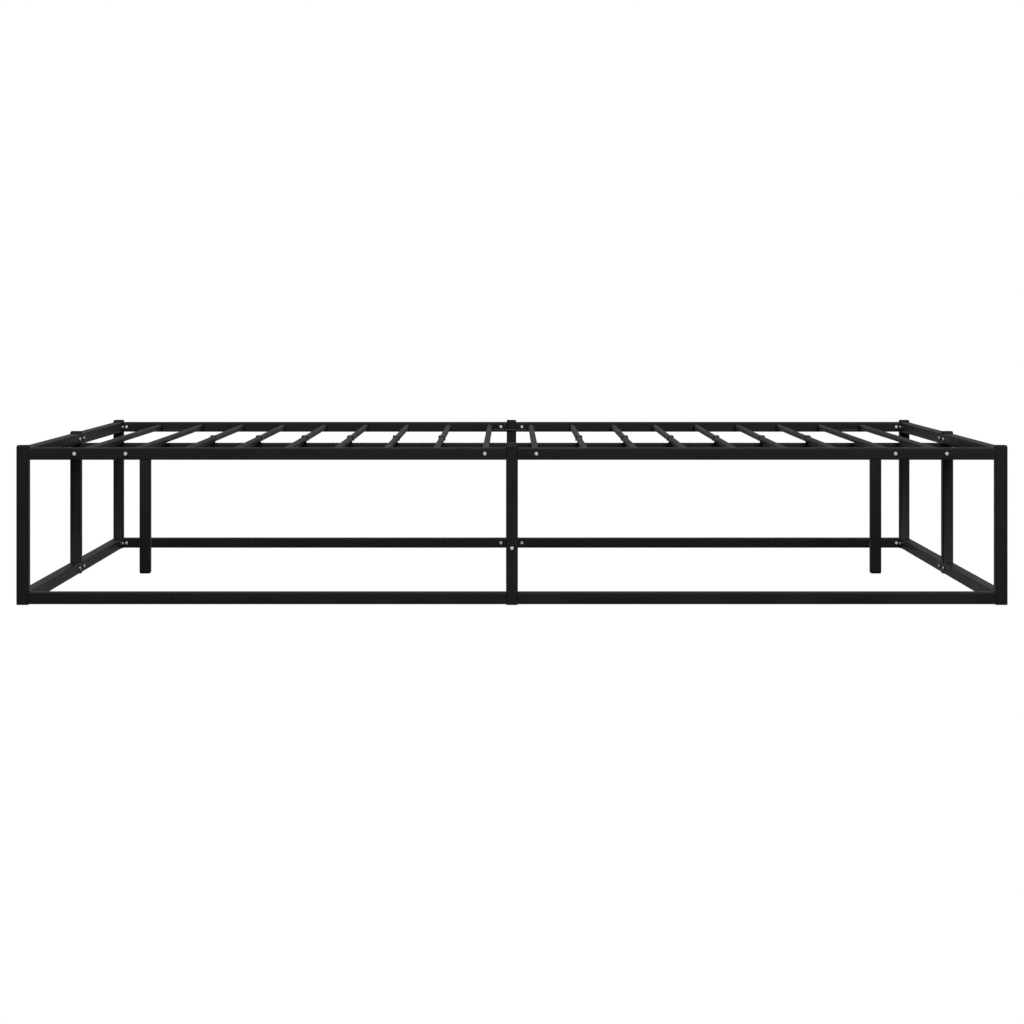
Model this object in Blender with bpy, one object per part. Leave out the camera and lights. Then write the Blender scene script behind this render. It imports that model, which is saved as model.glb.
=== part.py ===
# Knock-down steel bed frame: two rings of square tube, one on the floor and one under the
# mattress, joined by eight posts, with round slats across and a legged beam along the middle.
# Metres, +Z up. Origin on the floor under the middle; X along the length, front is -Y, left is -X.

import math

import bmesh
import bpy
from mathutils import Vector

# Overall sizes
FRAME_LENGTH = 2.080        # outside, along X
FRAME_WIDTH = 1.280         # outside, along Y
FRAME_HEIGHT = 0.328        # underside of the lower rails to the top of the upper rails

# Square tube of the posts, rails, beam and legs
TUBE = 0.025
TUBE_WALL = 0.0012
TUBE_CORNER = 0.002
CORNER_STEPS = 3

# Stubs welded to the posts, which the rails slide over
GAP = 0.0003                # clearance between touching pieces
STUB_LENGTH = 0.034
STUB_WALL = 0.0015
WELD_DEPTH = 0.0006         # how far a stub sinks into the post's wall

# Bolts that hold the rails on the stubs, and the slat pairs to the rails
BOLT_HOLE = 0.0066          # clearance hole of an M6 bolt
THREAD_HOLE = 0.0050        # tapped hole of an M6 bolt
BOLT_FROM_CORNER = 0.010    # bolt to the side of a corner post
BOLT_FROM_MIDDLE = 0.015    # bolt to the side of a middle post
SPARE_BOLT_HEIGHT = 0.119   # lone bolt low on the outer face of the side posts
HOLE_STEPS = 10

# Slats
SLAT = 0.014                # diameter
SLAT_WALL = 0.0012
SLAT_COUNT = 18
SLAT_FROM_END = 0.125       # outer end of the frame to the middle of the first slat
SLAT_SHIFT = -0.003         # slats and outer legs stand this far off the middle
SLAT_STEPS = 16
SEAT_DEPTH = 0.018          # how far a plain slat's end sits inside the rail
TIED = (0, 1, 8, 9, 16, 17)  # slats that are welded in pairs and bolted through the rails
INSERT_DEPTH = 0.020        # solid, tapped end of a tied slat
TIE_BAR = 0.003             # thickness of the flat bar between two tied slats
TIE_BAR_HEIGHT = 0.0065
TIE_BAR_BITE = 0.0015       # how far the bar stands up past the slats' underside

# Centre beam, its sleeve and its legs
BEAM_DROP = 0.0028          # space between a slat's underside and the beam
SLEEVE_LENGTH = 0.120
SLEEVE_BOLT = 0.045         # sleeve bolts to the middle of the beam
LEG_PITCHES = 8             # slat pitches from the middle leg to an outer leg
LEG_PLATE = 0.003
STUD = 0.008
STUD_LENGTH = 0.012
STUD_PLAY = 0.001           # on the diameter of the stud's hole

# Plastic caps and feet
CAP_HEIGHT = 0.0052
CAP_EDGE = 0.0014           # height of the cap's upright edge
CAP_TOP = 0.0225            # width of the cap's flat top
PLUG_DEPTH = 0.012
PLUG_LEAD = 0.0004          # how much slimmer the plug's tip is, each side
FOOT_FLANGE = 0.0012
FOOT_INSET = 0.0004         # flange edge inside the tube's face

SIDES = {"left": -1, "right": 1}
FACES = {"front": -1, "back": 1}

POST_X = FRAME_LENGTH / 2 - TUBE / 2
POST_Y = FRAME_WIDTH / 2 - TUBE / 2
INNER_Y = FRAME_WIDTH / 2 - TUBE
POST_BOTTOM = FOOT_FLANGE + GAP
POST_TOP = POST_BOTTOM + FRAME_HEIGHT
LOWER_Z = POST_BOTTOM + TUBE / 2
UPPER_Z = POST_TOP - TUBE / 2
LEVELS = {"lower": LOWER_Z, "upper": UPPER_Z}
BEAM_Z = UPPER_Z - SLAT / 2 - BEAM_DROP - TUBE / 2
BORE = TUBE - 2 * TUBE_WALL
FIT = BORE - 2 * GAP        # width of whatever slides inside the tube
LEG_BOTTOM = CAP_HEIGHT + GAP
SLAT_PITCH = (FRAME_LENGTH - 2 * SLAT_FROM_END) / (SLAT_COUNT - 1)
LEG_X = LEG_PITCHES * SLAT_PITCH

ALONG_X = (0.0, math.pi / 2, 0.0)
ALONG_Y = (-math.pi / 2, 0.0, 0.0)
ALONG_Z = (0.0, 0.0, 0.0)

COAT = {"colour": (0.012, 0.012, 0.013), "roughness": 0.45, "metallic": 0.3}
PLASTIC = {"colour": (0.010, 0.010, 0.010), "roughness": 0.55, "metallic": 0.0}


# ---- loops and skins -------------------------------------------------------------------------

def square_ring(bm, side, corner, z, steps=CORNER_STEPS):
    """A square loop with round corners. A sharp corner is one vertex, listed once per point."""
    ring = []
    half = side / 2 - corner
    for quarter, (sx, sy) in enumerate(((1, 1), (-1, 1), (-1, -1), (1, -1))):
        if corner == 0:
            ring += [bm.verts.new((sx * half, sy * half, z))] * (steps + 1)
            continue
        for step in range(steps + 1):
            angle = (quarter + step / steps) * math.pi / 2
            x = sx * half + corner * math.cos(angle)
            y = sy * half + corner * math.sin(angle)
            ring.append(bm.verts.new((x, y, z)))
    return ring


def round_ring(bm, radius, z, steps, share=1):
    """A circle. With share 2 every vertex is listed twice, which halves the facets of a bore."""
    ring = []
    for step in range(0, steps, share):
        angle = (step + (share - 1) / 2) * 2 * math.pi / steps
        vert = bm.verts.new((radius * math.cos(angle), radius * math.sin(angle), z))
        ring += [vert] * share
    return ring


def skin(bm, ring, other):
    """Faces between two loops with the same number of points."""
    for i in range(len(ring)):
        j = (i + 1) % len(ring)
        corners = list(dict.fromkeys((ring[i], ring[j], other[j], other[i])))
        if len(corners) > 2:
            bm.faces.new(corners)


def stack(bm, rings, closed):
    """Skins a row of loops. A closed row joins its ends, an open one gets a face at each end."""
    for ring, other in zip(rings, rings[1:]):
        skin(bm, ring, other)
    if closed:
        skin(bm, rings[-1], rings[0])
    else:
        for ring in (rings[0], rings[-1]):
            bm.faces.new(list(dict.fromkeys(ring)))


def new_mesh(bm, name):
    bmesh.ops.recalc_face_normals(bm, faces=bm.faces)
    mesh = bpy.data.meshes.new(name)
    bm.to_mesh(mesh)
    bm.free()
    mesh.shade_smooth()
    mesh.set_sharp_from_angle(angle=math.radians(40))
    return mesh


# ---- objects ---------------------------------------------------------------------------------

def finish(obj, look):
    material = bpy.data.materials.new(obj.name)
    material.use_nodes = True
    shader = material.node_tree.nodes["Principled BSDF"]
    shader.inputs["Base Color"].default_value = (*look["colour"], 1.0)
    shader.inputs["Roughness"].default_value = look["roughness"]
    shader.inputs["Metallic"].default_value = look["metallic"]
    obj.data.materials.append(material)


def place(name, mesh, location, rotation, look):
    """A sub-part of its own, with its own copy of the mesh and its own material."""
    obj = bpy.data.objects.new(name, mesh.copy())
    obj.location = location
    obj.rotation_euler = rotation
    bpy.context.scene.collection.objects.link(obj)
    finish(obj, look)
    return obj


def add_tool(obj, bm, operation):
    """A hidden helper solid in world coordinates that is joined to, or cut from, the object."""
    tool = bpy.data.objects.new(f"{obj.name}_{operation.lower()}", new_mesh(bm, obj.name))
    tool.hide_render = True
    tool.display_type = "WIRE"
    bpy.context.scene.collection.objects.link(tool)
    modifier = obj.modifiers.new(operation, "BOOLEAN")
    modifier.operation = operation
    modifier.solver = "EXACT"
    modifier.object = tool


def turn_to(bm, verts, start, direction):
    """Moves new vertices from the Z axis at the origin to a start point and direction."""
    rotation = Vector((0, 0, 1)).rotation_difference(Vector(direction)).to_matrix().to_4x4()
    bmesh.ops.transform(bm, matrix=rotation, verts=verts)
    bmesh.ops.translate(bm, vec=start, verts=verts)


def drill(obj, holes):
    """Cuts round holes: (middle of the hole, direction, diameter, depth, steps)."""
    bm = bmesh.new()
    for middle, direction, diameter, depth, steps in holes:
        known = set(bm.verts)
        ends = [round_ring(bm, diameter / 2, z, steps) for z in (-depth / 2, depth / 2)]
        stack(bm, ends, closed=False)
        turn_to(bm, [v for v in bm.verts if v not in known], middle, direction)
    add_tool(obj, bm, "DIFFERENCE")


def tube_mesh(name, length, side, wall, corner):
    """An open square tube from Z = 0 to its length, with a sharp-cornered bore."""
    bm = bmesh.new()
    bore = side - 2 * wall
    outer = [square_ring(bm, side, corner, z) for z in (0, length)]
    inner = [square_ring(bm, bore, 0, z) for z in (length, 0)]
    stack(bm, outer + inner, closed=True)
    return new_mesh(bm, name)


def wall_hole(middle, inward, diameter, side, wall, steps=HOLE_STEPS):
    """A hole through one wall of a tube, on the side that faces inward."""
    inward = Vector(inward)
    point = Vector(middle) + inward * (side / 2 - wall / 2)
    return (point, inward, diameter, 4 * wall, steps)


# ---- posts -----------------------------------------------------------------------------------

def slat_x(index):
    return SLAT_SHIFT + (index - (SLAT_COUNT - 1) / 2) * SLAT_PITCH


def stub_holes(post, ways, inset):
    """Tapped holes in the stubs, each on the wall that faces the inside of the bed."""
    holes = []
    for way, inward in ways:
        for z in LEVELS.values():
            middle = Vector((post[0], post[1], z)) + Vector(way) * (TUBE / 2 + inset)
            holes.append(wall_hole(middle, inward, THREAD_HOLE, FIT, STUB_WALL))
    return holes


def add_stubs(obj, post, starts):
    """Welds square stubs to a post: (height, direction) for each of them."""
    bm = bmesh.new()
    length = STUB_LENGTH + WELD_DEPTH
    bore = FIT - 2 * STUB_WALL
    for z, way in starts:
        known = set(bm.verts)
        outer = [square_ring(bm, FIT, TUBE_CORNER, h, 1) for h in (0, length)]
        inner = [square_ring(bm, bore, 0, h, 1) for h in (length, 0)]
        stack(bm, outer + inner, closed=True)
        start = Vector((post[0], post[1], z)) + Vector(way) * (TUBE / 2 - WELD_DEPTH)
        turn_to(bm, [v for v in bm.verts if v not in known], start, way)
    add_tool(obj, bm, "UNION")


def tie_bolt_holes(fy, low, high, side, wall):
    """Holes through both walls of a side tube for the tie bolts that pass between low and high."""
    holes = []
    for index in TIED:
        if low < slat_x(index) < high:
            middle = (slat_x(index), fy * POST_Y, UPPER_Z)
            holes += [wall_hole(middle, (0, way, 0), BOLT_HOLE, side, wall) for way in (-1, 1)]
    return holes


def stub_bolt_holes(x, fy):
    """The same holes through the side stubs of a post, where a tie bolt comes that near to it."""
    reach = TUBE / 2 + STUB_LENGTH + BOLT_HOLE / 2
    return tie_bolt_holes(fy, x - reach, x + reach, FIT, STUB_WALL)


def post_at(name, x, y, ways, inset, extra_stubs=(), extra_holes=()):
    """One post. Each way is the direction of its stubs and the inward side of those stubs."""
    mesh = tube_mesh(name, FRAME_HEIGHT, TUBE, TUBE_WALL, TUBE_CORNER)
    obj = place(name, mesh, (x, y, POST_BOTTOM), ALONG_Z, COAT)
    stubs = [(z, way) for z in LEVELS.values() for way, _ in ways]
    add_stubs(obj, (x, y), stubs + list(extra_stubs))
    drill(obj, stub_holes((x, y), ways, inset) + list(extra_holes))


def make_posts():
    for side, sx in SIDES.items():
        for face, fy in FACES.items():
            ways = (((-sx, 0, 0), (0, -fy, 0)), ((0, -fy, 0), (-sx, 0, 0)))
            ties = stub_bolt_holes(sx * POST_X, fy)
            name = f"corner_post_{face}_{side}"
            post_at(name, sx * POST_X, fy * POST_Y, ways, BOLT_FROM_CORNER, (), ties)
    for face, fy in FACES.items():
        ways = (((-1, 0, 0), (0, -fy, 0)), ((1, 0, 0), (0, -fy, 0)))
        spare = wall_hole((0, fy * POST_Y, SPARE_BOLT_HEIGHT), (0, fy, 0), THREAD_HOLE, TUBE, TUBE_WALL)
        holes = [spare] + stub_bolt_holes(0, fy)
        post_at(f"side_post_{face}", 0, fy * POST_Y, ways, BOLT_FROM_MIDDLE, (), holes)
    for side, sx in SIDES.items():
        ways = (((0, -1, 0), (-sx, 0, 0)), ((0, 1, 0), (-sx, 0, 0)))
        beam_stub = (BEAM_Z, (-sx, 0, 0))
        bolt_x = sx * (POST_X - TUBE / 2 - BOLT_FROM_MIDDLE)
        beam_bolt = wall_hole((bolt_x, 0, BEAM_Z), (0, 0, -1), THREAD_HOLE, FIT, STUB_WALL)
        post_at(f"end_post_{side}", sx * POST_X, 0, ways, BOLT_FROM_MIDDLE, (beam_stub,), (beam_bolt,))


# ---- rails -----------------------------------------------------------------------------------

def slat_holes(sx, fy):
    """Seats for the plain slats and bolt holes for the tied ones in one upper side rail."""
    low, high = sorted((0, sx * FRAME_LENGTH / 2))
    holes = tie_bolt_holes(fy, low, high, TUBE, TUBE_WALL)
    for index in range(SLAT_COUNT):
        if low < slat_x(index) < high and index not in TIED:
            middle = (slat_x(index), fy * POST_Y, UPPER_Z)
            holes.append(wall_hole(middle, (0, -fy, 0), SLAT + 2 * GAP, TUBE, TUBE_WALL, SLAT_STEPS))
    return holes


def make_side_rails():
    start = TUBE / 2 + GAP
    length = FRAME_LENGTH / 2 - TUBE - GAP - start
    bolts = (TUBE / 2 + BOLT_FROM_MIDDLE, FRAME_LENGTH / 2 - TUBE - BOLT_FROM_CORNER)
    mesh = tube_mesh("side_rail", length, TUBE, TUBE_WALL, TUBE_CORNER)
    for level, z in LEVELS.items():
        for face, fy in FACES.items():
            for side, sx in SIDES.items():
                low = start if sx > 0 else -start - length
                name = f"{level}_side_rail_{face}_{side}"
                obj = place(name, mesh, (low, fy * POST_Y, z), ALONG_X, COAT)
                holes = [wall_hole((sx * x, fy * POST_Y, z), (0, -fy, 0), BOLT_HOLE, TUBE, TUBE_WALL)
                         for x in bolts]
                if level == "upper":
                    holes += slat_holes(sx, fy)
                drill(obj, holes)


def make_end_rails():
    start = TUBE / 2 + GAP
    length = FRAME_WIDTH / 2 - TUBE - GAP - start
    bolts = (TUBE / 2 + BOLT_FROM_MIDDLE, FRAME_WIDTH / 2 - TUBE - BOLT_FROM_CORNER)
    mesh = tube_mesh("end_rail", length, TUBE, TUBE_WALL, TUBE_CORNER)
    for level, z in LEVELS.items():
        for side, sx in SIDES.items():
            for face, fy in FACES.items():
                low = start if fy > 0 else -start - length
                name = f"{level}_end_rail_{side}_{face}"
                obj = place(name, mesh, (sx * POST_X, low, z), ALONG_Y, COAT)
                drill(obj, [wall_hole((sx * POST_X, fy * y, z), (-sx, 0, 0), BOLT_HOLE, TUBE, TUBE_WALL)
                            for y in bolts])


# ---- slats -----------------------------------------------------------------------------------

def make_slats():
    """The plain slats: open round tubes whose ends sit inside the side rails."""
    half = INNER_Y + SEAT_DEPTH
    bm = bmesh.new()
    outer = [round_ring(bm, SLAT / 2, z, SLAT_STEPS) for z in (-half, half)]
    inner = [round_ring(bm, SLAT / 2 - SLAT_WALL, z, SLAT_STEPS, 2) for z in (half, -half)]
    stack(bm, outer + inner, closed=True)
    mesh = new_mesh(bm, "slat")
    for index in range(SLAT_COUNT):
        if index not in TIED:
            place(f"slat_{index + 1:02d}", mesh, (slat_x(index), 0, UPPER_Z), ALONG_Y, COAT)


def tied_slat(bm, x):
    """A slat that ends at the rails, with a tapped insert in each end."""
    half = INNER_Y - GAP
    bore = SLAT / 2 - SLAT_WALL
    deep = half - INSERT_DEPTH
    profile = ((SLAT / 2, -half), (SLAT / 2, half), (THREAD_HOLE / 2, half), (THREAD_HOLE / 2, deep),
               (bore, deep), (bore, -deep), (THREAD_HOLE / 2, -deep), (THREAD_HOLE / 2, -half))
    known = set(bm.verts)
    rings = []
    for radius, z in profile:
        rings.append(round_ring(bm, radius, z, SLAT_STEPS, 1 if radius == SLAT / 2 else 2))
    stack(bm, rings, closed=True)
    turn_to(bm, [v for v in bm.verts if v not in known], (x, 0, UPPER_Z), (0, 1, 0))


def make_tie_frames():
    """Each pair of tied slats, welded to a flat bar at either end."""
    bar_top = UPPER_Z - SLAT / 2 + TIE_BAR_BITE
    bar_z = bar_top - TIE_BAR_HEIGHT / 2
    bar_y = INNER_Y - GAP - TIE_BAR / 2
    for name, first in (("left", TIED[0]), ("middle", TIED[2]), ("right", TIED[4])):
        bm = bmesh.new()
        tied_slat(bm, slat_x(first))
        obj = place(f"tie_frame_{name}", new_mesh(bm, "tie_frame"), (0, 0, 0), ALONG_Z, COAT)
        bm = bmesh.new()
        tied_slat(bm, slat_x(first + 1))
        add_tool(obj, bm, "UNION")
        for fy in FACES.values():
            bm = bmesh.new()
            bmesh.ops.create_cube(bm, size=1)
            bmesh.ops.scale(bm, vec=(SLAT_PITCH, TIE_BAR, TIE_BAR_HEIGHT), verts=bm.verts)
            middle = (slat_x(first) + SLAT_PITCH / 2, fy * bar_y, bar_z)
            bmesh.ops.translate(bm, vec=middle, verts=bm.verts)
            add_tool(obj, bm, "UNION")


# ---- centre beam and legs --------------------------------------------------------------------

def make_beam():
    """Two halves of tube from the end posts to the middle, and the sleeve that joins them."""
    down = (0, 0, -1)
    end_bolt = FRAME_LENGTH / 2 - TUBE - BOLT_FROM_MIDDLE
    length = FRAME_LENGTH / 2 - TUBE - 2 * GAP
    mesh = tube_mesh("beam", length, TUBE, TUBE_WALL, TUBE_CORNER)
    stud_hole = STUD + STUD_PLAY
    for side, sx in SIDES.items():
        low = GAP if sx > 0 else -GAP - length
        obj = place(f"centre_beam_{side}", mesh, (low, 0, BEAM_Z), ALONG_X, COAT)
        spots = ((0, stud_hole), (sx * SLEEVE_BOLT, BOLT_HOLE),
                 (SLAT_SHIFT + sx * LEG_X, stud_hole), (sx * end_bolt, BOLT_HOLE))
        drill(obj, [wall_hole((x, 0, BEAM_Z), down, diameter, TUBE, TUBE_WALL)
                    for x, diameter in spots])
    mesh = tube_mesh("sleeve", SLEEVE_LENGTH, FIT, STUB_WALL, TUBE_CORNER)
    obj = place("beam_sleeve", mesh, (-SLEEVE_LENGTH / 2, 0, BEAM_Z), ALONG_X, COAT)
    spots = ((-SLEEVE_BOLT, THREAD_HOLE), (0, stud_hole), (SLEEVE_BOLT, THREAD_HOLE))
    drill(obj, [wall_hole((x, 0, BEAM_Z), down, diameter, FIT, STUB_WALL) for x, diameter in spots])


def make_legs():
    """Legs with a closed top and a stud that passes into the beam."""
    length = BEAM_Z - TUBE / 2 - GAP - LEG_BOTTOM
    steps = 4 * (CORNER_STEPS + 1)
    bm = bmesh.new()
    rings = [square_ring(bm, BORE, 0, length - LEG_PLATE), square_ring(bm, BORE, 0, 0)]
    rings += [square_ring(bm, TUBE, TUBE_CORNER, z) for z in (0, length)]
    rings += [round_ring(bm, STUD / 2, z, steps) for z in (length, length + STUD_LENGTH)]
    stack(bm, rings, closed=False)
    mesh = new_mesh(bm, "leg")
    for name, x in leg_places():
        place(f"support_leg_{name}", mesh, (x, 0, LEG_BOTTOM), ALONG_Z, COAT)


def leg_places():
    return (("left", SLAT_SHIFT - LEG_X), ("middle", 0), ("right", SLAT_SHIFT + LEG_X))


# ---- plastic caps and feet -------------------------------------------------------------------

def plug_rings(bm, base):
    """The part of a cap that is inside the tube, from its tip to the head at Z = base."""
    tip = FIT - 2 * PLUG_LEAD
    return [square_ring(bm, tip, 0, base - PLUG_DEPTH),
            square_ring(bm, FIT, 0, base - PLUG_DEPTH + PLUG_LEAD),
            square_ring(bm, FIT, 0, base)]


def cap_mesh():
    """A cap that rests on the end of a tube at Z = 0: upright edge, chamfer, flat top."""
    bm = bmesh.new()
    chamfer = (TUBE + CAP_TOP) / 2
    middle = CAP_EDGE + CAP_HEIGHT / 2
    rings = plug_rings(bm, GAP)
    rings.append(square_ring(bm, TUBE, TUBE_CORNER, GAP))
    rings.append(square_ring(bm, TUBE, TUBE_CORNER, GAP + CAP_EDGE))
    rings.append(square_ring(bm, chamfer, TUBE_CORNER, GAP + middle))
    rings.append(square_ring(bm, CAP_TOP, TUBE_CORNER, GAP + CAP_HEIGHT))
    stack(bm, rings, closed=False)
    return new_mesh(bm, "cap")


def foot_mesh():
    """A thin foot: a flange on the floor and a plug up into the post."""
    bm = bmesh.new()
    rings = plug_rings(bm, GAP)
    width = TUBE - 2 * FOOT_INSET
    rings += [square_ring(bm, width, TUBE_CORNER, z) for z in (GAP, GAP + FOOT_FLANGE)]
    stack(bm, rings, closed=False)
    return new_mesh(bm, "foot")


def post_places():
    spots = [(f"{face}_{side}", sx * POST_X, fy * POST_Y)
             for face, fy in FACES.items() for side, sx in SIDES.items()]
    spots += [(face, 0, fy * POST_Y) for face, fy in FACES.items()]
    spots += [(side, sx * POST_X, 0) for side, sx in SIDES.items()]
    return spots


def make_caps_and_feet():
    upside_down = (math.pi, 0.0, 0.0)
    cap = cap_mesh()
    foot = foot_mesh()
    for name, x, y in post_places():
        place(f"post_cap_{name}", cap, (x, y, POST_TOP), ALONG_Z, PLASTIC)
        if x != 0 and y != 0:
            place(f"post_foot_{name}", foot, (x, y, POST_BOTTOM), upside_down, PLASTIC)
    for name, x in leg_places():
        place(f"leg_foot_{name}", cap, (x, 0, LEG_BOTTOM), upside_down, PLASTIC)


def main():
    for obj in list(bpy.data.objects):
        bpy.data.objects.remove(obj)
    make_posts()
    make_side_rails()
    make_end_rails()
    make_slats()
    make_tie_frames()
    make_beam()
    make_legs()
    make_caps_and_feet()


main()
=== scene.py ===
import math

import bmesh
import bpy
from mathutils import Matrix, Vector


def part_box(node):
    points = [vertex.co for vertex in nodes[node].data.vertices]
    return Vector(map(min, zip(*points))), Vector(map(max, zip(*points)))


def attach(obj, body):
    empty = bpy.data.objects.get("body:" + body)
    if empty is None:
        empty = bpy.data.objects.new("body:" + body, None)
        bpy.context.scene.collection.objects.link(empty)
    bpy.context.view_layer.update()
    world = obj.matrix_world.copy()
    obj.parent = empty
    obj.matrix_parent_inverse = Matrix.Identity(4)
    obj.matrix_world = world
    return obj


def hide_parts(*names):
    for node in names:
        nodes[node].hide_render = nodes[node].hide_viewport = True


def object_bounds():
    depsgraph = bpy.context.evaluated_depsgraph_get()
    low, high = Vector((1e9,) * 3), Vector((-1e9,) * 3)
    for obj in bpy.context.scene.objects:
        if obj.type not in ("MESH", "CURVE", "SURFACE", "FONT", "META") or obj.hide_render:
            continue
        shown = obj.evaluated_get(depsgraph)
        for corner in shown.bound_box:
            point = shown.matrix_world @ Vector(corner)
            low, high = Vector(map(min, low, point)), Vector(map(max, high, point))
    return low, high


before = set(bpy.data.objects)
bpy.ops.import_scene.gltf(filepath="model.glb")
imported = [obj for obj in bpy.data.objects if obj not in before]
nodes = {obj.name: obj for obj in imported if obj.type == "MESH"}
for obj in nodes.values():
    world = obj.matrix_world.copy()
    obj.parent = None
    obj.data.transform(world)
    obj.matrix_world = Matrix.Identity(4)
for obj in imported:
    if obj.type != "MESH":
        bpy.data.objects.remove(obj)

cadLow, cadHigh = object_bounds()
coatSlot = "black_powder_coated_steel"
plasticSlot = "black_plastic"
print("frame loaded:", len(nodes), "nodes")


# camera: level and square on to the long side, a little above the mattress rails
cameraSetup = {
    "lens": 85.8,             # mm on a 36 mm sensor
    "distance": 5.119,        # to the front face
    "height": 0.604,
    "sideways": -0.0055,
    "shiftX": 0.0026,
    "shiftY": -0.1903,
}

cameraData = bpy.data.cameras.new("camera")
cameraData.lens = cameraSetup["lens"]
cameraData.shift_x = cameraSetup["shiftX"]
cameraData.shift_y = cameraSetup["shiftY"]
camera = bpy.data.objects.new("camera", cameraData)
camera.location = (cameraSetup["sideways"], cadLow.y - cameraSetup["distance"], cameraSetup["height"])
camera.rotation_euler = (math.radians(90), 0, 0)
bpy.context.scene.collection.objects.link(camera)
bpy.context.scene.camera = camera


# materials

def hexColour(code):
    # sRGB hex to the linear colour that shaders take
    parts = [int(code[i:i + 2], 16) / 255 for i in (1, 3, 5)]
    linear = [p / 12.92 if p <= 0.04045 else ((p + 0.055) / 1.055) ** 2.4 for p in parts]
    return (*linear, 1.0)


def addNode(tree, kind, settings, links):
    # settings and links go by socket name or number, a setting that starts with a dot is a property
    node = tree.nodes.new(kind)
    for name, value in settings.items():
        if isinstance(name, str) and name.startswith("."):
            setattr(node, name[1:], value)
        else:
            node.inputs[name].default_value = value
    for name, output in links.items():
        tree.links.new(output, node.inputs[name])
    return node


def newMaterial(name, settings):
    material = bpy.data.materials.new(name)
    material.use_nodes = True
    shader = material.node_tree.nodes["Principled BSDF"]
    for socket, value in settings.items():
        shader.inputs[socket].default_value = value
    return material


def addFinish(material, look):
    # two tones that drift into each other, a roughness that drifts with them, and a fine relief
    tree = material.node_tree
    shader = tree.nodes["Principled BSDF"]
    place = addNode(tree, "ShaderNodeTexCoord", {}, {}).outputs["Object"]
    drift = addNode(tree, "ShaderNodeTexNoise",
                    {"Scale": 1 / look["driftSize"], "Detail": 4.0, "Roughness": 0.6},
                    {"Vector": place}).outputs["Fac"]
    spread = addNode(tree, "ShaderNodeMapRange", {"From Min": 0.3, "From Max": 0.7},
                     {"Value": drift}).outputs["Result"]
    # 6 and 7 are the two colours of a Mix node, 2 is its colour output
    tone = addNode(tree, "ShaderNodeMix",
                   {".data_type": "RGBA", 6: hexColour(look["dark"]), 7: hexColour(look["light"])},
                   {0: spread}).outputs[2]
    gloss = addNode(tree, "ShaderNodeMapRange",
                    {"To Min": look["roughLow"], "To Max": look["roughHigh"]},
                    {"Value": spread}).outputs["Result"]
    relief = addNode(tree, "ShaderNodeTexNoise",
                     {"Scale": 1 / look["reliefSize"], "Detail": look["reliefDetail"], "Roughness": 0.5},
                     {"Vector": place}).outputs["Fac"]
    bump = addNode(tree, "ShaderNodeBump", {"Strength": look["reliefStrength"],
                   "Distance": look["reliefHeight"]}, {"Height": relief}).outputs["Normal"]
    tree.links.new(tone, shader.inputs["Base Color"])
    tree.links.new(gloss, shader.inputs["Roughness"])
    tree.links.new(bump, shader.inputs["Normal"])


# polyester powder coat baked on steel tube: satin black that stays dark square on and goes
# grey along rounded corners, with a fine orange peel and a faint greyer haze
powderCoatLook = {
    "dark": "#121213",
    "light": "#1A1A1B",
    "roughLow": 0.38,
    "roughHigh": 0.50,
    "driftSize": 0.16,
    "reliefSize": 0.0030,     # orange peel is 1 to 2 mm across, drawn coarser so that it shows
    "reliefDetail": 2.0,
    "reliefHeight": 0.00004,
    "reliefStrength": 0.5,
}
powderCoat = newMaterial("satinBlackPowderCoat", {"Specular IOR Level": 0.24})
addFinish(powderCoat, powderCoatLook)

# injection moulded polyethylene, black, from a spark-textured mould: duller and a touch warmer
# than the coat, with a fine even grain
plasticLook = {
    "dark": "#070707",
    "light": "#0D0D0C",
    "roughLow": 0.50,
    "roughHigh": 0.60,
    "driftSize": 0.02,
    "reliefSize": 0.0008,     # mould grain is about 0.2 mm, drawn coarser so that it shows
    "reliefDetail": 3.0,
    "reliefHeight": 0.00003,
    "reliefStrength": 0.6,
}
mouldedPlastic = newMaterial("mouldedBlackPolyethylene", {"IOR": 1.51, "Specular IOR Level": 0.20})
addFinish(mouldedPlastic, plasticLook)

# black nylon from a polished mould, for the clips: a clear gloss that lights up along their sides
nylonLook = {
    "dark": "#101010",
    "light": "#171717",
    "roughLow": 0.16,
    "roughHigh": 0.26,
    "driftSize": 0.008,
    "reliefSize": 0.0012,     # flow ripples of the mould, drawn coarser so that they show
    "reliefDetail": 1.0,
    "reliefHeight": 0.00002,
    "reliefStrength": 0.3,
}
mouldedNylon = newMaterial("glossyBlackNylon", {"IOR": 1.53, "Specular IOR Level": 0.55})
addFinish(mouldedNylon, nylonLook)

# bright zinc plate on a cold-headed steel bolt: pale silver with slightly bluer and greyer clouds
zincLook = {
    "dark": "#D2D6DA",
    "light": "#EEEEEC",
    "roughLow": 0.50,
    "roughHigh": 0.64,
    "driftSize": 0.004,
    "reliefSize": 0.0006,     # plating grain is far finer, drawn coarser so that it shows
    "reliefDetail": 2.0,
    "reliefHeight": 0.00001,
    "reliefStrength": 0.3,
}
zincPlate = newMaterial("brightZincPlate", {"Metallic": 1.0})
addFinish(zincPlate, zincLook)
print("materials made")


# modelling helpers

nearly = 0.0001               # slack for finding faces and edges by their place


def activate(piece):
    bpy.ops.object.select_all(action="DESELECT")
    piece.select_set(True)
    bpy.context.view_layer.objects.active = piece


def startPiece(name, addPrimitive, **settings):
    # the scale is put in the mesh at once, so that bevels and insets are even
    bpy.ops.object.select_all(action="DESELECT")
    addPrimitive(**settings)
    piece = bpy.context.object
    piece.name = name
    piece.data.name = name
    bpy.ops.object.transform_apply(location=True, rotation=True, scale=True)
    bpy.ops.object.mode_set(mode="EDIT")
    bpy.ops.mesh.select_all(action="DESELECT")
    return piece


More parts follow.
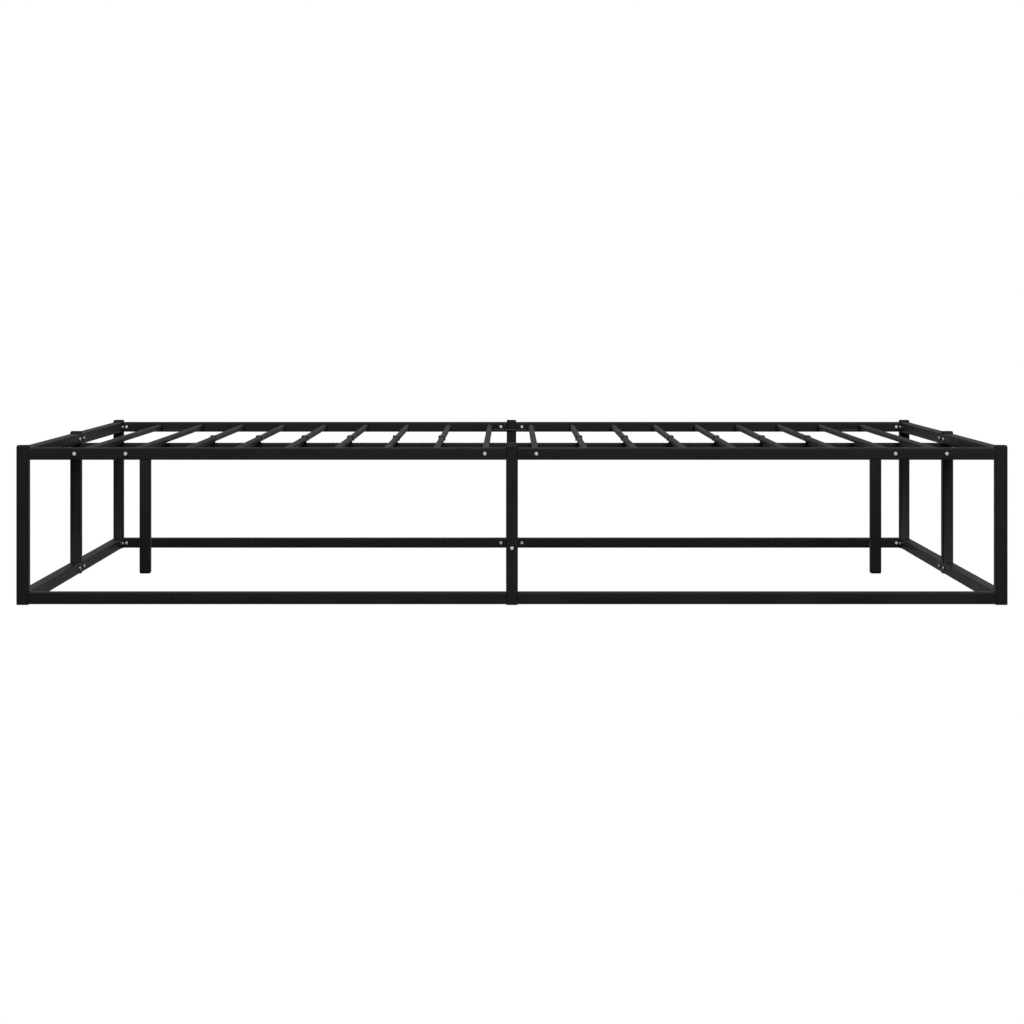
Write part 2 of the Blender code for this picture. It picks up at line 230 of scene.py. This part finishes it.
def pick(piece, kind, test):
    # selects the faces or edges of the piece in edit mode that pass the test
    bpy.ops.mesh.select_mode(type={"faces": "FACE", "edges": "EDGE"}[kind])
    bpy.ops.mesh.select_all(action="DESELECT")
    mesh = bmesh.from_edit_mesh(piece.data)
    mesh.normal_update()
    for part in getattr(mesh, kind):
        if test(part):
            part.select_set(True)
    mesh.select_flush_mode()
    bmesh.update_edit_mesh(piece.data)


def pull(move):
    # extrudes what is selected
    bpy.ops.mesh.extrude_region_move(TRANSFORM_OT_translate={"value": move})


def stretch(scales, centre=(0, 0, 0)):
    # scales what is selected about a point
    bpy.ops.transform.resize(value=scales, center_override=centre)


def middle(edge):
    return (edge.verts[0].co + edge.verts[1].co) / 2


def along(edge, axis):
    span = edge.verts[1].co - edge.verts[0].co
    return abs(span[axis]) > 0.99 * span.length


def closeMesh(piece):
    bpy.ops.mesh.select_all(action="SELECT")
    bpy.ops.mesh.remove_doubles(threshold=0.00001)
    bpy.ops.mesh.normals_make_consistent(inside=False)
    bpy.ops.object.mode_set(mode="OBJECT")


def applyBoolean(piece, other, operation):
    activate(piece)
    cut = piece.modifiers.new("cut", "BOOLEAN")
    cut.operation = operation
    cut.solver = "EXACT"
    cut.object = other
    bpy.ops.object.modifier_apply(modifier=cut.name)
    bpy.data.objects.remove(other)


def shade(piece, material, angle=40):
    # flat faces stay flat, and only the rounds between them are smooth
    activate(piece)
    bpy.ops.object.shade_smooth_by_angle(angle=math.radians(angle))
    even = piece.modifiers.new("even", "WEIGHTED_NORMAL")
    even.keep_sharp = True
    bpy.ops.object.modifier_apply(modifier=even.name)
    piece.data.materials.clear()
    piece.data.materials.append(material)


def mount(piece, slotName, *replaced):
    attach(piece, "root")
    if replaced:
        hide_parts(*replaced)


def copyPiece(piece, name, matrix):
    mesh = piece.data.copy()
    mesh.name = name
    mesh.transform(matrix)
    new = bpy.data.objects.new(name, mesh)
    bpy.context.scene.collection.objects.link(new)
    return new


def camelName(node):
    first, *rest = node.split("_")
    return first + "".join(word.capitalize() for word in rest)


# square tubes and the legs: the CAD shapes, merged, with their rounded corners shaded round

tubeNodes = [n for n in sorted(nodes)
             if n.startswith(("corner_post", "side_post", "end_post", "upper_", "lower_",
                              "centre_beam", "beam_sleeve", "support_leg"))]
for node in tubeNodes:
    piece = copyPiece(nodes[node], camelName(node), Matrix.Identity(4))
    activate(piece)
    bpy.ops.object.mode_set(mode="EDIT")
    closeMesh(piece)
    shade(piece, powderCoat)
    mount(piece, coatSlot, node)
print("square tubes:", len(tubeNodes))


# slats: thin round tube, the plain ones pushed through the inner walls of the rails

slatSetup = {
    "sides": 40,
    "wall": 0.0012,
    "rim": 0.0003,            # how far the outer edge of each end is rounded
}


def makeSlat(name, x, z, radius, halfLength, bore):
    slat = startPiece(name, bpy.ops.mesh.primitive_cylinder_add, vertices=slatSetup["sides"],
                      radius=radius, depth=2 * halfLength, location=(x, 0, z),
                      rotation=(math.radians(90), 0, 0))
    pick(slat, "faces", lambda f: abs(f.normal.y) > 0.9)
    bpy.ops.mesh.inset(thickness=radius - bore)
    bpy.ops.mesh.bridge_edge_loops()
    pick(slat, "edges", lambda e: min(abs(v.co.y) for v in e.verts) > halfLength - nearly
         and (middle(e) - Vector((x, middle(e).y, z))).length > radius * 0.98)
    bpy.ops.mesh.bevel(offset=slatSetup["rim"], segments=2, affect="EDGES")
    closeMesh(slat)
    return slat


plainSlats = [n for n in sorted(nodes) if n.startswith("slat_")]
slatLow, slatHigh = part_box(plainSlats[0])
slatRadius = (slatHigh.z - slatLow.z) / 2
slatZ = (slatHigh.z + slatLow.z) / 2
slatX = [sum(corner.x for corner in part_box(n)) / 2 for n in plainSlats]
modelSlat = makeSlat("modelSlat", 0, slatZ, slatRadius, slatHigh.y, slatRadius - slatSetup["wall"])
shade(modelSlat, powderCoat)
for node, x in zip(plainSlats, slatX):
    mount(copyPiece(modelSlat, camelName(node), Matrix.Translation((x, 0, 0))), coatSlot, node)
bpy.data.objects.remove(modelSlat)
print("plain slats:", len(plainSlats))


# tie frames: two slats with tapped ends, joined at each end by a rounded bar welded low between them

tieSetup = {
    "thread": 0.0025,         # radius of the tapped hole
    "bar": 0.003,
    "barHeight": 0.0065,
    "barSides": 28,
    "weldLength": 0.011,
    "weldWidth": 0.0036,
    "weldSides": 12,
    "weldRipples": 7,
    "weldGroove": 0.0003,     # length of the dip between two ripples
    "weldDip": 0.84,          # share of the width that is left there
    "weldTip": 0.45,          # and at either end
    "weldInward": 0.003,      # from the slat's middle towards the other slat
    "weldStandOff": 0.0006,   # from the bar's inner face
    "weldDrop": 0.94,         # share of the slat's radius that it lies below the slat's middle
}


def makeWeld(name, spot):
    # a short bead that runs along X, each groove made by a narrower ring
    ripples = tieSetup["weldRipples"]
    step = tieSetup["weldLength"] / ripples
    start = spot[0] - tieSetup["weldLength"] / 2
    groove = tieSetup["weldGroove"]
    dip = tieSetup["weldDip"]
    tip = tieSetup["weldTip"]
    weld = startPiece(name, bpy.ops.mesh.primitive_cylinder_add, vertices=tieSetup["weldSides"],
                      radius=tieSetup["weldWidth"] / 2, depth=step,
                      location=(start + step / 2, spot[1], spot[2]), rotation=(0, math.radians(90), 0))
    pick(weld, "faces", lambda f: f.normal.x < -0.9)
    stretch((1, tip, tip), spot)
    for ripple in range(1, ripples):
        pick(weld, "faces", lambda f: f.normal.x > 0.9
             and f.calc_center_median().x > start + ripple * step - nearly)
        pull((groove, 0, 0))
        stretch((1, dip, dip), spot)
        pull((step - groove, 0, 0))
        stretch((1, 1 / dip, 1 / dip), spot)
    pick(weld, "faces", lambda f: f.normal.x > 0.9)
    stretch((1, tip, tip), spot)
    closeMesh(weld)
    return weld


def makeTieFrame(node):
    low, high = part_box(node)
    centres = (low.x + slatRadius, high.x - slatRadius)
    tied = makeSlat(camelName(node), centres[0], slatZ, slatRadius, high.y, tieSetup["thread"])
    other = makeSlat("other", centres[1], slatZ, slatRadius, high.y, tieSetup["thread"])
    applyBoolean(tied, other, "UNION")
    for side in (-1, 1):
        barY = side * (high.y - tieSetup["bar"] / 2)
        barZ = low.z + tieSetup["barHeight"] / 2
        bar = startPiece("bar", bpy.ops.mesh.primitive_cylinder_add, vertices=tieSetup["barSides"],
                         radius=0.5, depth=1, location=((low.x + high.x) / 2, barY, barZ),
                         rotation=(0, math.radians(90), 0),
                         scale=(tieSetup["barHeight"], tieSetup["bar"], centres[1] - centres[0]))
        closeMesh(bar)
        applyBoolean(tied, bar, "UNION")
        for x, inward in ((centres[0], 1), (centres[1], -1)):
            spot = Vector((x + inward * tieSetup["weldInward"],
                           side * (high.y - tieSetup["bar"] - tieSetup["weldStandOff"]),
                           slatZ - slatRadius * tieSetup["weldDrop"]))
            applyBoolean(tied, makeWeld("weld", spot), "UNION")
    return tied


tieNodes = [n for n in sorted(nodes) if n.startswith("tie_frame_")]
for node in tieNodes:
    tied = makeTieFrame(node)
    shade(tied, powderCoat)
    mount(tied, coatSlot, node)
print("tie frames:", len(tieNodes))


# saddle clips: moulded, snapped over a plain slat where it crosses the centre beam

clipSetup = {
    "width": 0.0168,
    "length": 0.014,
    "crown": 0.0014,          # how far it stands above the slat
    "flank": 0.0044,          # how far its sides reach below the slat's middle
    "shoulder": 0.0036,
    "round": 0.0005,
    "peg": 0.0070,            # across the peg that stands in the beam
    "pegCorner": 0.0014,
    "pegDepth": 0.0012,
    "boreSides": 40,
    "play": 0.00005,          # between clip and slat
}


def makeClip():
    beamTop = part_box("centre_beam_left")[1].z
    top = slatZ + slatRadius + clipSetup["crown"]
    bottom = slatZ - clipSetup["flank"]
    length = clipSetup["length"]
    clip = startPiece("modelClip", bpy.ops.mesh.primitive_cube_add, size=1,
                      location=(0, 0, (top + bottom) / 2),
                      scale=(clipSetup["width"], length, top - bottom))
    pick(clip, "edges", lambda e: along(e, 1) and middle(e).z > slatZ)
    bpy.ops.mesh.bevel(offset=clipSetup["shoulder"], segments=5, affect="EDGES")
    pick(clip, "edges", lambda e: not along(e, 1))
    bpy.ops.mesh.bevel(offset=clipSetup["round"], segments=2, affect="EDGES")
    closeMesh(clip)
    pegLow = beamTop - clipSetup["pegDepth"]
    peg = startPiece("peg", bpy.ops.mesh.primitive_cube_add, size=1,
                     location=(0, 0, (pegLow + slatZ) / 2),
                     scale=(clipSetup["peg"], clipSetup["peg"], slatZ - pegLow))
    pick(peg, "edges", lambda e: along(e, 2))
    bpy.ops.mesh.bevel(offset=clipSetup["pegCorner"], segments=3, affect="EDGES")
    closeMesh(peg)
    applyBoolean(clip, peg, "UNION")
    bore = startPiece("bore", bpy.ops.mesh.primitive_cylinder_add, vertices=clipSetup["boreSides"],
                      radius=slatRadius + clipSetup["play"], depth=2 * length,
                      location=(0, 0, slatZ), rotation=(math.radians(90), 0, 0))
    closeMesh(bore)
    applyBoolean(clip, bore, "DIFFERENCE")
    shade(clip, mouldedNylon)
    return clip


modelClip = makeClip()
for number, x in enumerate(slatX, 1):
    mount(copyPiece(modelClip, f"saddleClip_{number:02d}", Matrix.Translation((x, 0, 0))), plasticSlot)
bpy.data.objects.remove(modelClip)
print("saddle clips:", len(slatX))


# caps and feet: moulded plugs for the ends of square tube

plugSetup = {
    "depth": 0.012,           # of the part that goes into the tube
    "width": 0.0220,
    "corner": 0.002,
    "fins": 3,                # soft rings that grip the tube's wall
    "fin": 0.0003,            # how far each stands out
    "finEdge": 0.0006,        # height of each of its two flanks
    "capEdge": 0.0014,        # height of the cap's upright edge
    "capTop": 0.0225,         # across the flat on top
    "capRound": 0.0007,
    "capSteep": 0.55,         # share of the chamfer's height that its steeper lower half takes
}


def makePlug(name, width, edge, height, top=0):
    # head up, its underside at Z = 0: an upright edge, and on a cap a chamfer up to a smaller flat top
    plug = startPiece(name, bpy.ops.mesh.primitive_cube_add, size=1,
                      location=(0, 0, edge / 2), scale=(width, width, edge))
    pick(plug, "edges", lambda e: along(e, 2))
    bpy.ops.mesh.bevel(offset=plugSetup["corner"], segments=4, affect="EDGES")
    if height > edge:
        pick(plug, "faces", lambda f: f.normal.z > 0.9)
        rise = height - edge
        halfway = (width + top) / 2
        pull((0, 0, rise * plugSetup["capSteep"]))
        stretch((halfway / width, halfway / width, 1))
        pull((0, 0, rise * (1 - plugSetup["capSteep"])))
        stretch((top / halfway, top / halfway, 1))
        pick(plug, "edges", lambda e: min(v.co.z for v in e.verts) > edge - nearly
             and not along(e, 2) and abs(e.verts[0].co.z - e.verts[1].co.z) < nearly / 10)
        bpy.ops.mesh.bevel(offset=plugSetup["capRound"], segments=2, affect="EDGES")
    pick(plug, "faces", lambda f: f.normal.z < -0.9)
    bpy.ops.mesh.inset(thickness=(width - plugSetup["width"]) / 2 + plugSetup["fin"])
    wider = 1 + 2 * plugSetup["fin"] / plugSetup["width"]
    for fin in range(plugSetup["fins"]):
        pull((0, 0, -plugSetup["depth"] / plugSetup["fins"] + 2 * plugSetup["finEdge"]))
        stretch((wider, wider, 1))
        pull((0, 0, -plugSetup["finEdge"]))
        pull((0, 0, -plugSetup["finEdge"]))
        stretch((1 / wider, 1 / wider, 1))
    closeMesh(plug)
    shade(plug, mouldedPlastic)
    return plug


capNodes = [n for n in sorted(nodes) if n.startswith("post_cap_")]
capLow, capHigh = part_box(capNodes[0])
capHeight = capHigh.z - capLow.z - plugSetup["depth"]
modelCap = makePlug("modelCap", capHigh.x - capLow.x, plugSetup["capEdge"], capHeight,
                    plugSetup["capTop"])
for node in capNodes:
    low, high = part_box(node)
    spot = Vector(((low.x + high.x) / 2, (low.y + high.y) / 2, high.z - capHeight))
    mount(copyPiece(modelCap, camelName(node), Matrix.Translation(spot)), plasticSlot, node)

# the three legs stand on the same cap, turned over
upsideDown = Matrix.Rotation(math.radians(180), 4, "X")
legFeet = [n for n in sorted(nodes) if n.startswith("leg_foot_")]
for node in legFeet:
    low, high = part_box(node)
    spot = Vector(((low.x + high.x) / 2, (low.y + high.y) / 2, capHeight))
    mount(copyPiece(modelCap, camelName(node), Matrix.Translation(spot) @ upsideDown), plasticSlot, node)
bpy.data.objects.remove(modelCap)

# posts stand on a thin flange, corner posts and middle posts alike
postFeet = [n for n in sorted(nodes) if n.startswith("post_foot_")]
footLow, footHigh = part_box(postFeet[0])
footHeight = footHigh.z - footLow.z - plugSetup["depth"]
modelFoot = makePlug("modelFoot", footHigh.x - footLow.x, footHeight, footHeight)
footPlaces = [(camelName(n), n, (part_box(n)[0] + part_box(n)[1]) / 2) for n in postFeet]
for cap in ("front", "back", "left", "right"):
    spot = sum(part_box("post_cap_" + cap), Vector()) / 2
    footPlaces.append((f"postFoot{cap.capitalize()}", None, spot))
for name, node, spot in footPlaces:
    matrix = Matrix.Translation((spot.x, spot.y, footHeight)) @ upsideDown
    mount(copyPiece(modelFoot, name, matrix), plasticSlot, *([node] if node else []))
bpy.data.objects.remove(modelFoot)
print("caps and feet:", len(capNodes), len(legFeet), len(footPlaces))


# bolts: zinc plated button heads with a hexagon socket, each on a black moulded washer

boltSetup = {
    "sides": 24,
    "headWidth": 0.0088,
    "headHeight": 0.0028,
    "dome": ((0.34, 1.0), (0.70, 0.92), (0.90, 0.76), (1.0, 0.54)),    # shares of height and width
    "socket": 0.0036,         # across its corners
    "socketDepth": 0.0014,
    "key": 0.004,             # length of the six-sided bar that cuts the socket
    "shank": 0.006,
    "tieLength": 0.033,       # of the shanks that reach through a side rail into a tie frame
    "shortLength": 0.006,     # and of all the others
    "washerWidth": 0.0134,
    "washerHeight": 0.0010,
    "washerBore": 0.0064,
    "washerRound": 0.0003,
    "corner": 0.010,          # from a bolt to the corner post's side
    "middle": 0.015,          # and to a middle post's side
    "beamEnd": 0.015,         # from a beam bolt to the end rail's inner face
    "beamSleeve": 0.045,      # and from the other one to the middle of the beam
    "loneHeight": 0.119,      # of the lone bolt in each side post
}


def makeBolt(name, length):
    # along Z, the underside of its washer at Z = 0
    washer = boltSetup["washerHeight"]
    height = boltSetup["headHeight"]
    shares = boltSetup["dome"]
    bolt = startPiece(name, bpy.ops.mesh.primitive_cylinder_add, vertices=boltSetup["sides"],
                      radius=boltSetup["headWidth"] / 2, depth=height * shares[0][0],
                      location=(0, 0, washer + height * shares[0][0] / 2))
    for below, above in zip(shares, shares[1:]):
        pick(bolt, "faces", lambda f: f.normal.z > 0.9 and len(f.verts) > 4)
        narrower = above[1] / below[1]
        pull((0, 0, height * (above[0] - below[0])))
        stretch((narrower, narrower, 1))
    pick(bolt, "faces", lambda f: f.normal.z < -0.9 and len(f.verts) > 4)
    bpy.ops.mesh.inset(thickness=(boltSetup["headWidth"] - boltSetup["shank"]) / 2)
    pull((0, 0, -length - washer))
    closeMesh(bolt)
    key = startPiece("key", bpy.ops.mesh.primitive_cylinder_add, vertices=6,
                     radius=boltSetup["socket"] / 2, depth=boltSetup["key"],
                     location=(0, 0, washer + height - boltSetup["socketDepth"] + boltSetup["key"] / 2))
    closeMesh(key)
    applyBoolean(bolt, key, "DIFFERENCE")
    shade(bolt, zincPlate, 36)
    return bolt


def makeWasher():
    height = boltSetup["washerHeight"]
    radius = boltSetup["washerWidth"] / 2
    washer = startPiece("modelWasher", bpy.ops.mesh.primitive_cylinder_add,
                        vertices=boltSetup["sides"], radius=radius, depth=height,
                        location=(0, 0, height / 2))
    pick(washer, "faces", lambda f: abs(f.normal.z) > 0.9)
    bpy.ops.mesh.inset(thickness=radius - boltSetup["washerBore"] / 2)
    bpy.ops.mesh.bridge_edge_loops()
    pick(washer, "edges", lambda e: not along(e, 2) and middle(e).z > height * 0.9
         and middle(e).to_2d().length > radius * 0.98)
    bpy.ops.mesh.bevel(offset=boltSetup["washerRound"], segments=2, affect="EDGES")
    closeMesh(washer)
    shade(washer, mouldedPlastic)
    return washer


frontLow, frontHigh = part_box("upper_side_rail_front_left")
railZ = ((frontLow.z + frontHigh.z) / 2, sum(c.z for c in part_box("lower_side_rail_front_left")) / 2)
innerY = frontHigh.y                        # the front rail's inner face, on the minus side
outerY = frontLow.y
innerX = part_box("upper_end_rail_left_front")[1].x
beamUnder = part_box("centre_beam_left")[0].z
tubeHalf = (frontHigh.z - frontLow.z) / 2
corner = boltSetup["corner"]
beside = tubeHalf + boltSetup["middle"]     # from the middle of the frame to a middle post's bolt
tieLength = boltSetup["tieLength"]
shortLength = boltSetup["shortLength"]

boltPlaces = []                             # name, place, direction the head faces, length
for side, sideName in ((1, "Front"), (-1, "Back")):
    for node in tieNodes:
        low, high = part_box(node)
        tieName = node.split("_")[-1].capitalize()
        for x, end in ((low.x + slatRadius, "A"), (high.x - slatRadius, "B")):
            boltPlaces.append((f"tieBolt{sideName}{tieName}{end}",
                               (x, side * outerY, railZ[0]), (0, -side, 0), tieLength))
    for level, z in zip(("Upper", "Lower"), railZ):
        for hand, handName in ((-1, "Left"), (1, "Right")):
            for x, end in ((-innerX - corner, "Corner"), (beside, "Middle")):
                boltPlaces.append((f"sideRailBolt{level}{sideName}{handName}{end}",
                                   (hand * x, side * innerY, z), (0, side, 0), shortLength))
            for y, end in ((innerY + corner, "Corner"), (-beside, "Middle")):
                boltPlaces.append((f"endRailBolt{level}{sideName}{handName}{end}",
                                   (-hand * innerX, side * y, z), (-hand, 0, 0), shortLength))
    boltPlaces.append((f"postBolt{sideName}", (0, side * outerY, boltSetup["loneHeight"]),
                       (0, -side, 0), shortLength))
for hand, handName in ((-1, "Left"), (1, "Right")):
    for x, end in ((-innerX - boltSetup["beamEnd"], "End"), (boltSetup["beamSleeve"], "Sleeve")):
        boltPlaces.append((f"beamBolt{handName}{end}", (hand * x, 0, beamUnder), (0, 0, -1), shortLength))

modelBolts = {length: makeBolt("modelBolt", length) for length in (tieLength, shortLength)}
modelWasher = makeWasher()
for name, spot, direction, length in boltPlaces:
    turn = Vector((0, 0, 1)).rotation_difference(Vector(direction)).to_matrix().to_4x4()
    matrix = Matrix.Translation(spot) @ turn
    mount(copyPiece(modelBolts[length], name, matrix), None)
    mount(copyPiece(modelWasher, name.replace("Bolt", "Washer"), matrix), plasticSlot)
for model in (*modelBolts.values(), modelWasher):
    bpy.data.objects.remove(model)
print("bolts:", len(boltPlaces))


# studio: a white floor and backdrop, and soft light from all round overhead that falls off below

studioSetup = {
    "floorSize": 80.0,
    "floorGlow": 1.0,         # it is lit from within like a light table, so no shadow shows on it
    "backdrop": 1.0,          # what the camera sees behind everything
    "above": 0.30,            # what lights the frame from overhead
    "below": 0.15,            # and from underneath
    "fadeFrom": -0.45,        # the light fades in between these heights, -1 straight down, 1 straight up
    "fadeTo": 0.25,
    "front": 0.30,            # share of that light on the side of the camera
    "turn": 0.6,              # it grows to all of it from this far in front to this far behind
}

studioLights = {              # strength, softness in degrees, turn in degrees
    "overhead": (0.55, 75, (12, -8, 0)),
    "key": (1.6, 30, (61, 0, 6)),           # from the front, above the camera and a little to the right
}

bpy.ops.object.select_all(action="DESELECT")
bpy.ops.mesh.primitive_plane_add(size=studioSetup["floorSize"], location=(0, 0, 0))
floor = bpy.context.object
floor.name = "floor"
# opal acrylic over lamps: even white with no gloss, so that nothing mirrors in it
opalAcrylic = newMaterial("opalAcrylicFloor", {
    "Base Color": (0, 0, 0, 1), "Roughness": 0.9, "Specular IOR Level": 0.0,
    "Emission Color": (1, 1, 1, 1), "Emission Strength": studioSetup["floorGlow"]})
floor.data.materials.append(opalAcrylic)
floor.visible_glossy = False      # it throws no light back up, so undersides stay dark
floor.visible_diffuse = False

world = bpy.data.worlds.new("studio")
world.use_nodes = True
bpy.context.scene.world = world
tree = world.node_tree
background = tree.nodes["Background"]
direction = addNode(tree, "ShaderNodeTexCoord", {}, {}).outputs["Generated"]
heading = addNode(tree, "ShaderNodeSeparateXYZ", {}, {"Vector": direction}).outputs
glow = addNode(tree, "ShaderNodeMapRange",
               {".interpolation_type": "SMOOTHSTEP", "From Min": studioSetup["fadeFrom"],
                "From Max": studioSetup["fadeTo"], "To Min": studioSetup["below"],
                "To Max": studioSetup["above"]}, {"Value": heading["Z"]}).outputs["Result"]
behind = addNode(tree, "ShaderNodeMapRange",
                 {"From Min": -studioSetup["turn"], "From Max": studioSetup["turn"],
                  "To Min": studioSetup["front"]}, {"Value": heading["Y"]}).outputs["Result"]
ambient = addNode(tree, "ShaderNodeMath", {".operation": "MULTIPLY"}, {0: glow, 1: behind}).outputs[0]
seen = addNode(tree, "ShaderNodeLightPath", {}, {}).outputs["Is Camera Ray"]
level = addNode(tree, "ShaderNodeMapRange", {"To Max": studioSetup["backdrop"]},
                {"Value": seen, "To Min": ambient}).outputs["Result"]
background.inputs["Color"].default_value = (1, 1, 1, 1)
tree.links.new(level, background.inputs["Strength"])

for name, (strength, softness, turn) in studioLights.items():
    lightData = bpy.data.lights.new(name, "SUN")
    lightData.energy = strength
    lightData.angle = math.radians(softness)
    light = bpy.data.objects.new(name, lightData)
    light.rotation_euler = [math.radians(angle) for angle in turn]
    bpy.context.scene.collection.objects.link(light)

bpy.context.scene.view_settings.view_transform = "Standard"
print("studio ready")
